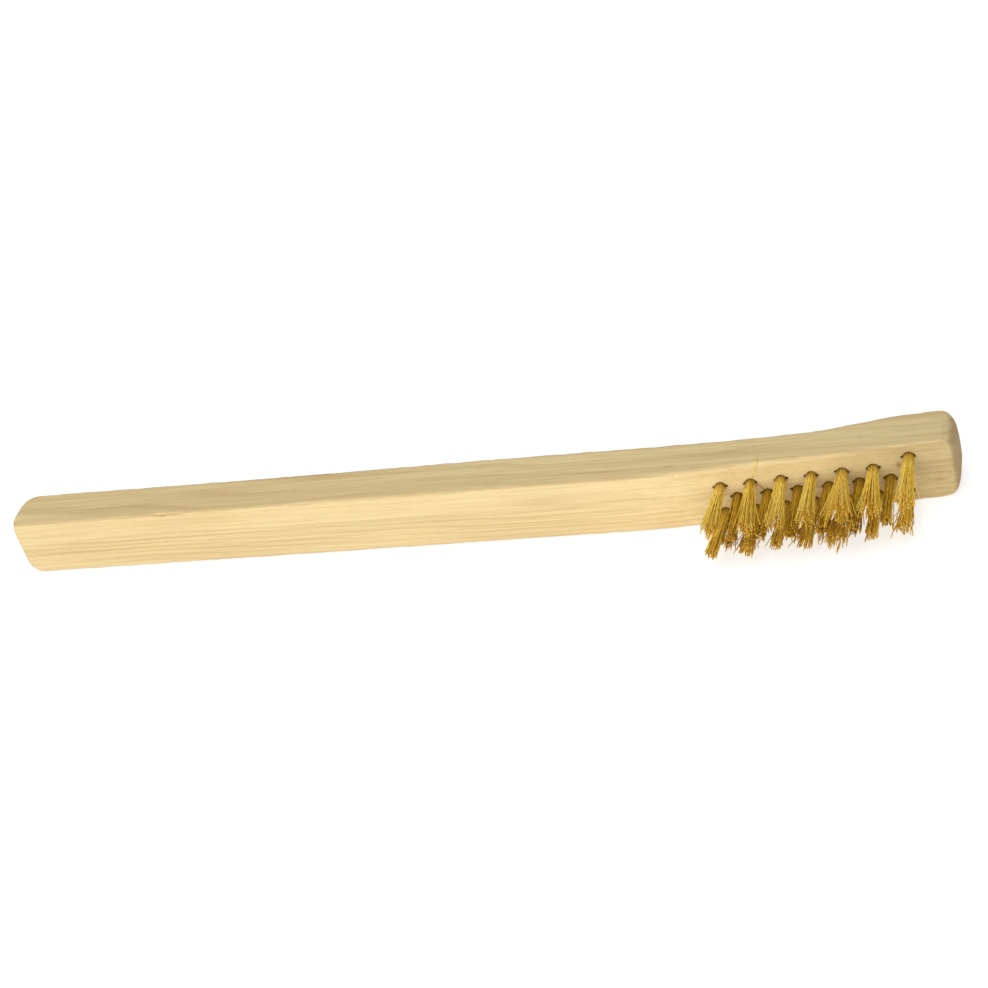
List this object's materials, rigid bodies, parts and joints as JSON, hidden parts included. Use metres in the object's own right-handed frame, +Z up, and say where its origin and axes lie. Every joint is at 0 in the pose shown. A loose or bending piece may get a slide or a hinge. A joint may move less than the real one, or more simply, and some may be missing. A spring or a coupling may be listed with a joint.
{
  "type": "wire brush",
  "caption": "Hand wire scratch brush with a bent bare wood handle and staggered rows of brass wire tufts pinned in drilled holes.",
  "frame": {"origin": "middle of the side face that the brush lies on, half way along the handle and half way through the grip's thickness", "axes": "+X along the handle from the tail to the head, bristles point to -Y, the back of the handle faces +Y, +Z up out of the other side face"},
  "size_m": [0.197, 0.0273, 0.0133],
  "materials": {
    "handle_wood": "bare sanded wood",
    "brass_wire": "drawn crimped brass wire, slightly dull",
    "anchor_steel": "plain drawn flat wire"
  },
  "bodies": {
    "root": {"handle": "handle_wood", "tuft_upper_1": "brass_wire", "tuft_upper_2": "brass_wire", "tuft_upper_3": "brass_wire", "tuft_upper_4": "brass_wire", "tuft_upper_5": "brass_wire", "tuft_upper_6": "brass_wire", "tuft_upper_7": "brass_wire", "tuft_middle_1": "brass_wire", "tuft_middle_2": "brass_wire", "tuft_middle_3": "brass_wire", "tuft_middle_4": "brass_wire", "tuft_middle_5": "brass_wire", "tuft_middle_6": "brass_wire", "tuft_lower_1": "brass_wire", "tuft_lower_2": "brass_wire", "tuft_lower_3": "brass_wire", "tuft_lower_4": "brass_wire", "tuft_lower_5": "brass_wire", "tuft_lower_6": "brass_wire", "tuft_lower_7": "brass_wire", "anchor_upper_1": "anchor_steel", "anchor_upper_2": "anchor_steel", "anchor_upper_3": "anchor_steel", "anchor_upper_4": "anchor_steel", "anchor_upper_5": "anchor_steel", "anchor_upper_6": "anchor_steel", "anchor_upper_7": "anchor_steel", "anchor_middle_1": "anchor_steel", "anchor_middle_2": "anchor_steel", "anchor_middle_3": "anchor_steel", "anchor_middle_4": "anchor_steel", "anchor_middle_5": "anchor_steel", "anchor_middle_6": "anchor_steel", "anchor_lower_1": "anchor_steel", "anchor_lower_2": "anchor_steel", "anchor_lower_3": "anchor_steel", "anchor_lower_4": "anchor_steel", "anchor_lower_5": "anchor_steel", "anchor_lower_6": "anchor_steel", "anchor_lower_7": "anchor_steel"}
  },
  "joints": []
}
